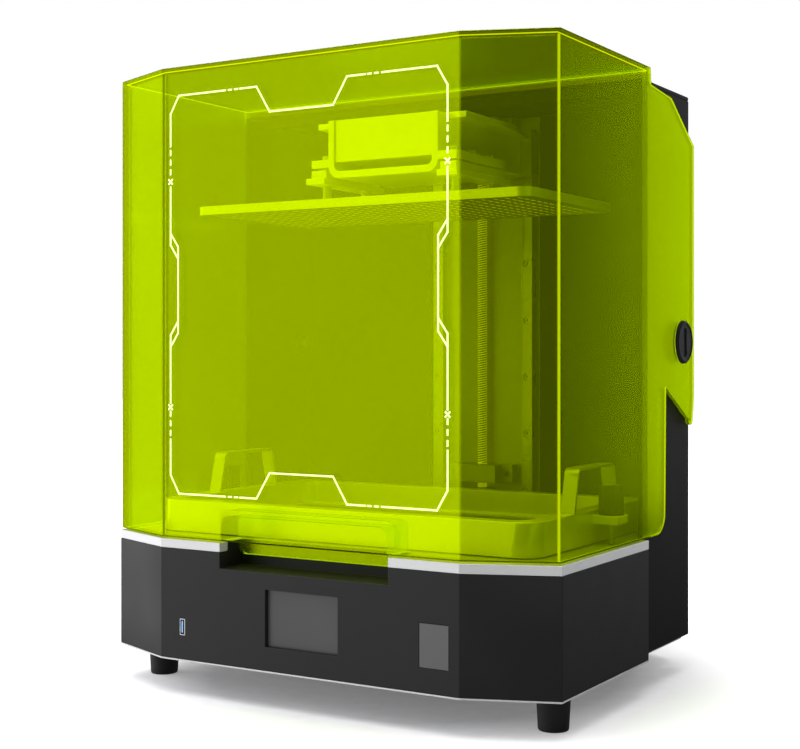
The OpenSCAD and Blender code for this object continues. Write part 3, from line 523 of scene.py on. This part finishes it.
def add_ball_screw():
    """The ball screw with its rolled thread: two starts, with plain ends in the bearings."""
    low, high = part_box("ball_screw")
    radius = (high.x - low.x) / 2
    centre = Vector(((low.x + high.x) / 2, (low.y + high.y) / 2, 0))
    starts, lead, depth = 2, 5 * MM, 1.2 * MM
    around, per_turn = 24, 12
    gap = 1 * MM
    thread_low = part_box("lower_bearing")[1].z + gap
    thread_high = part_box("upper_bearing")[0].z - gap
    rows = int((thread_high - thread_low) / lead * per_turn)
    threaded = [thread_low + (thread_high - thread_low) * i / rows for i in range(rows + 1)]
    heights = [low.z, *threaded, high.z]
    verts = []
    for z in heights:
        for step in range(around):
            turn = 2 * math.pi * step / around
            wave = math.cos(starts * (2 * math.pi * z / lead - turn))
            groove = depth * max(0.0, wave) if thread_low < z < thread_high else 0.0
            at = radius - groove
            verts.append(centre + Vector((at * math.cos(turn), at * math.sin(turn), z)))
    faces = [tuple(range(around)), tuple(range(len(verts) - around, len(verts)))]
    for row in range(len(heights) - 1):
        for step in range(around):
            a, b = row * around + step, row * around + (step + 1) % around
            faces.append((a, b, b + around, a + around))
    screw = add_piece("threaded_screw", verts, faces, "screw", MATERIALS["thread_crest_glow"])
    screw.data.materials.append(MATERIALS["thread_groove_shade"])
    # Crests and plain ends glow, a painted highlight; the grooves are darker, painted shade
    crest_radius = radius - 0.35 * depth
    for face in screw.data.polygons:
        face.use_smooth = len(face.vertices) == 4
        from_axis = (Vector(face.center[:2]) - Vector(centre[:2])).length
        face.material_index = int(face.use_smooth and from_axis < crest_radius)
    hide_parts("ball_screw")


def hood_plan(inset):
    """The hood's outline from above, drawn in by inset, from its left rear round the front to its right."""
    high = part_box("lid_hood")[1]
    top = [v.co for v in nodes["lid_hood"].data.vertices if v.co.z > high.z - 0.1 * MM and v.co.x > 0]
    fold = min(top, key=lambda co: co.y)
    outer = [co for co in top if co.x > high.x - 0.1 * MM]
    corner = min(outer, key=lambda co: co.y)
    rear = max(outer, key=lambda co: co.y)
    chamfer = Vector((corner.x - fold.x, corner.y - fold.y)).normalized()
    normals = [Vector((0, -1)), Vector((chamfer.y, -chamfer.x)), Vector((1, 0))]
    points = []
    for place, before, after in ((fold, normals[0], normals[1]), (corner, normals[1], normals[2])):
        points.append(Vector(place[:2]) - (before + after) * inset / (1 + before.dot(after)))
    points.append(Vector((rear.x - inset, rear.y)))
    return [Vector((-point.x, point.y)) for point in reversed(points)] + points


# The faces of a square bar with four corners at its start and four at its end
BAR_FACES = [(0, 1, 2, 3), (7, 6, 5, 4)] + [(i, i + 4, (i + 1) % 4 + 4, (i + 1) % 4) for i in range(4)]


def add_bars(name, runs, half, material):
    """Thin square bars inside the lid's walls, one for each run's start and end: glowing ones are painted
    highlights, dark ones dark lines in joints.
    """
    verts, faces = [], []
    for start, end in runs:
        along = (end - start).normalized()
        side = along.orthogonal().normalized() * half
        other = along.cross(side).normalized() * half
        ring = [side + other, side - other, -side - other, other - side]
        faces += [tuple(i + len(verts) for i in face) for face in BAR_FACES]
        verts += [start + corner for corner in ring] + [end + corner for corner in ring]
    add_piece(name, verts, faces, "lid", MATERIALS[material])


def add_hood_joints():
    """The hood's glued joints: glowing lines in its top edges and right corner, which are painted highlights,
    and dark ones elsewhere.
    """
    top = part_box("lid_hood")[1].z
    # Just above the lid's lower edge
    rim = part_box("trim_band")[1].z + 2 * MM

    def along(points, z):
        """A run along the points, at one height."""
        path = [Vector((*point, z)) for point in points]
        return list(zip(path, path[1:]))

    def upright(point):
        """A run from the rim to the underside of the top."""
        return [(Vector((*point, rim)), Vector((*point, top - WALL)))]

    inner = hood_plan(0.8 * WALL)
    inner[0].y -= 1 * MM
    inner[-1].y = inner[0].y
    middle = hood_plan(0.5 * WALL)
    outer = hood_plan(1 * MM)
    add_bars("joint_top", along(inner + inner[:1], top - 3.2 * MM), 0.35 * MM, "joint_glint")
    add_bars("joint_top_shade", along(hood_plan(0.8 * MM), top - 0.8 * MM), 0.4 * MM, "joint_dark")
    add_bars("joint_right_glint", upright(middle[4]), 0.9 * MM, "joint_soft_glint")
    add_bars("joint_fold", upright(middle[2]), 0.9 * MM, "joint_dark")
    add_bars("joint_rim", along(outer[1:], rim + 0.3 * MM), 0.5 * MM, "joint_dark")
    add_bars("joint_left", upright(outer[1]), 0.7 * MM, "joint_dark")


def add_ear_edges():
    """Painted highlights on the edges of the hood's ears beside the tower: glowing bars just inside the
    outline of their outer faces.
    """
    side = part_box("lid_hood")[1].x - 0.1 * MM
    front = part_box("tower_shell")[0].y
    depth = 1 * MM
    work = bmesh.new()
    work.from_mesh(nodes["lid_hood"].data)
    runs = []
    for edge in work.edges:
        # The mesh is split where its faces turn, so the edges of an outline have one face
        face = edge.link_faces[0]
        start, end = [vert.co for vert in edge.verts]
        in_ear = all(abs(co.x) > side and co.y > front and not is_at_hinge(co) for co in (start, end))
        if in_ear and edge.is_boundary and abs(face.normal.x) > 0.9:
            inward = (end - start).normalized().cross(face.normal)
            if inward.dot(face.calc_center_median() - start) < 0:
                inward = -inward
            step = (inward - face.normal) * depth
            runs.append((start + step, end + step))
    work.free()
    # Glowing bars, painted highlights along the ears' edges
    add_bars("ear_edge_glints", runs, 0.4 * MM, "joint_soft_glint")


make_camera()
make_studio()
dress_cad()
dress_build_plate()
dress_clamps()
dress_usb()
add_ball_screw()
add_hood_joints()
add_ear_edges()
